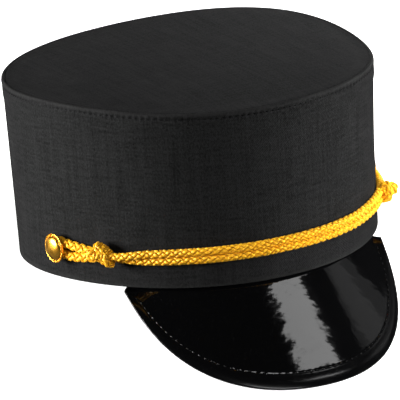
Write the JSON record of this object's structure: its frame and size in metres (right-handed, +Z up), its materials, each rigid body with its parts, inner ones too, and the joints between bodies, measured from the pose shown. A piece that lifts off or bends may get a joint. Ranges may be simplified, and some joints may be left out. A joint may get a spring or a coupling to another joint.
{
  "type": "soldier costume cap",
  "caption": "Drum-shaped costume cap of stiffened black cloth with a flat top, a steep glossy visor and a doubled gold braid cord knotted and looped over domed side buttons.",
  "frame": {"origin": "centre of the footprint of the resting cap, on the surface it rests on", "axes": "+Z up, -Y the way the visor points, +X the wearer's left; the drum leans back, because the cap rests on the back of its rim and on the edge of its visor"},
  "size_m": [0.1972, 0.261, 0.1278],
  "materials": {
    "crown_cloth": "matt black twill over a stiffening",
    "visor_patent": "polished black patent sheet",
    "cord_braid": "golden yellow rayon braid",
    "button_gilt": "bright gilt"
  },
  "bodies": {
    "root": {"crown_side": "crown_cloth", "crown_top": "crown_cloth", "visor": "visor_patent", "cord_upper": "cord_braid", "cord_lower": "cord_braid", "knot_right": "cord_braid", "knot_left": "cord_braid", "cord_loop_right": "cord_braid", "cord_loop_left": "cord_braid", "button_right": "button_gilt", "button_left": "button_gilt"}
  },
  "joints": []
}
